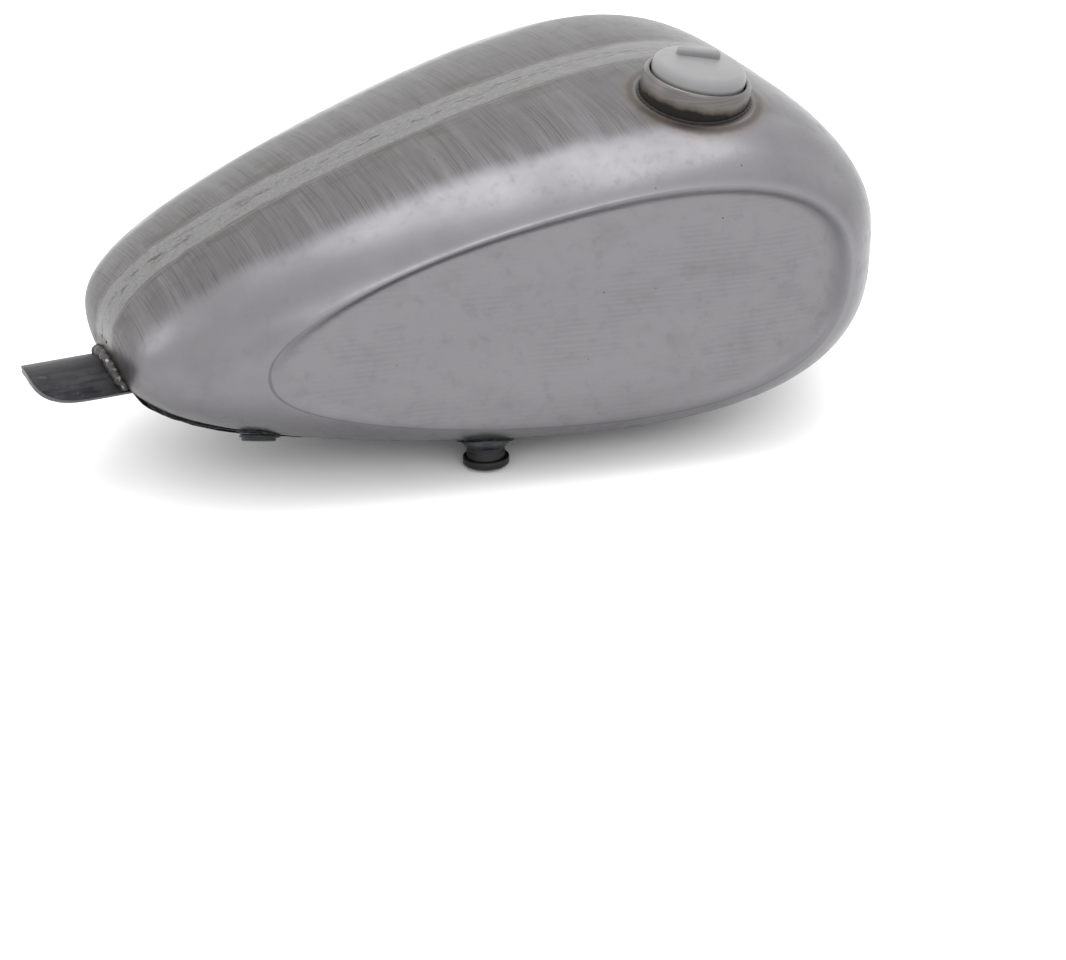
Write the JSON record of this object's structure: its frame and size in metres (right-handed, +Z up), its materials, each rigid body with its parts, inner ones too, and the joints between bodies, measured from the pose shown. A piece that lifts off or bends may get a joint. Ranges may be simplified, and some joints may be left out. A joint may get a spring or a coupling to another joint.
{
  "type": "motorcycle fuel tank",
  "caption": "Teardrop steel motorcycle fuel tank with dished sides, open frame tunnel, pipe saddles, round filler neck with push-in cap and plugged fuel outlets.",
  "frame": {"origin": "on the ground plane at the lowest point, under the middle of the tank's length and width", "axes": "+X forward to the wide end with the filler, +Y to the rider's left, +Z up"},
  "size_m": [0.531, 0.2712, 0.2284],
  "materials": {
    "bare_steel": "bare pressed sheet, linished along the seam",
    "scale_steel": "dark mill scale",
    "burnt_weld": "burnt black weld bead",
    "bright_weld": "rippled silver weld bead",
    "white_plastic": "semi matte",
    "black_plastic": "semi gloss"
  },
  "bodies": {
    "tank": {"right_shell": "bare_steel", "left_shell": "bare_steel", "top_seam_weld": "bare_steel", "tunnel": "scale_steel", "tunnel_weld_right": "burnt_weld", "tunnel_weld_left": "burnt_weld", "rear_saddle": "scale_steel", "front_saddle": "scale_steel", "rear_saddle_weld": "bright_weld", "front_saddle_weld": "bright_weld", "rear_saddle_tack": "burnt_weld", "front_saddle_tack": "burnt_weld", "filler_neck": "bare_steel", "filler_neck_weld": "burnt_weld", "petcock_bung": "scale_steel", "petcock_bung_weld": "burnt_weld", "crossover_bung_right": "scale_steel", "crossover_bung_left": "scale_steel", "crossover_weld_right": "burnt_weld", "crossover_weld_left": "burnt_weld"},
    "filler_cap": {"filler_cap": "white_plastic"},
    "petcock_plug": {"petcock_plug": "black_plastic"},
    "crossover_plug_right": {"crossover_plug_right": "black_plastic"},
    "crossover_plug_left": {"crossover_plug_left": "black_plastic"}
  },
  "joints": [
    {"name": "filler_cap_slide", "type": "slide", "parent": "tank", "child": "filler_cap", "axis": [0.1322, -0.0986, 0.9863], "range_m": [0, 0.04]},
    {"name": "petcock_plug_slide", "type": "slide", "parent": "tank", "child": "petcock_plug", "axis": [0, -0.1, -0.995], "range_m": [0, 0.04]},
    {"name": "crossover_plug_right_slide", "type": "slide", "parent": "tank", "child": "crossover_plug_right", "axis": [-0.2001, -0.4402, -0.8753], "range_m": [0, 0.03]},
    {"name": "crossover_plug_left_slide", "type": "slide", "parent": "tank", "child": "crossover_plug_left", "axis": [-0.2001, 0.4402, -0.8753], "range_m": [0, 0.03]}
  ]
}
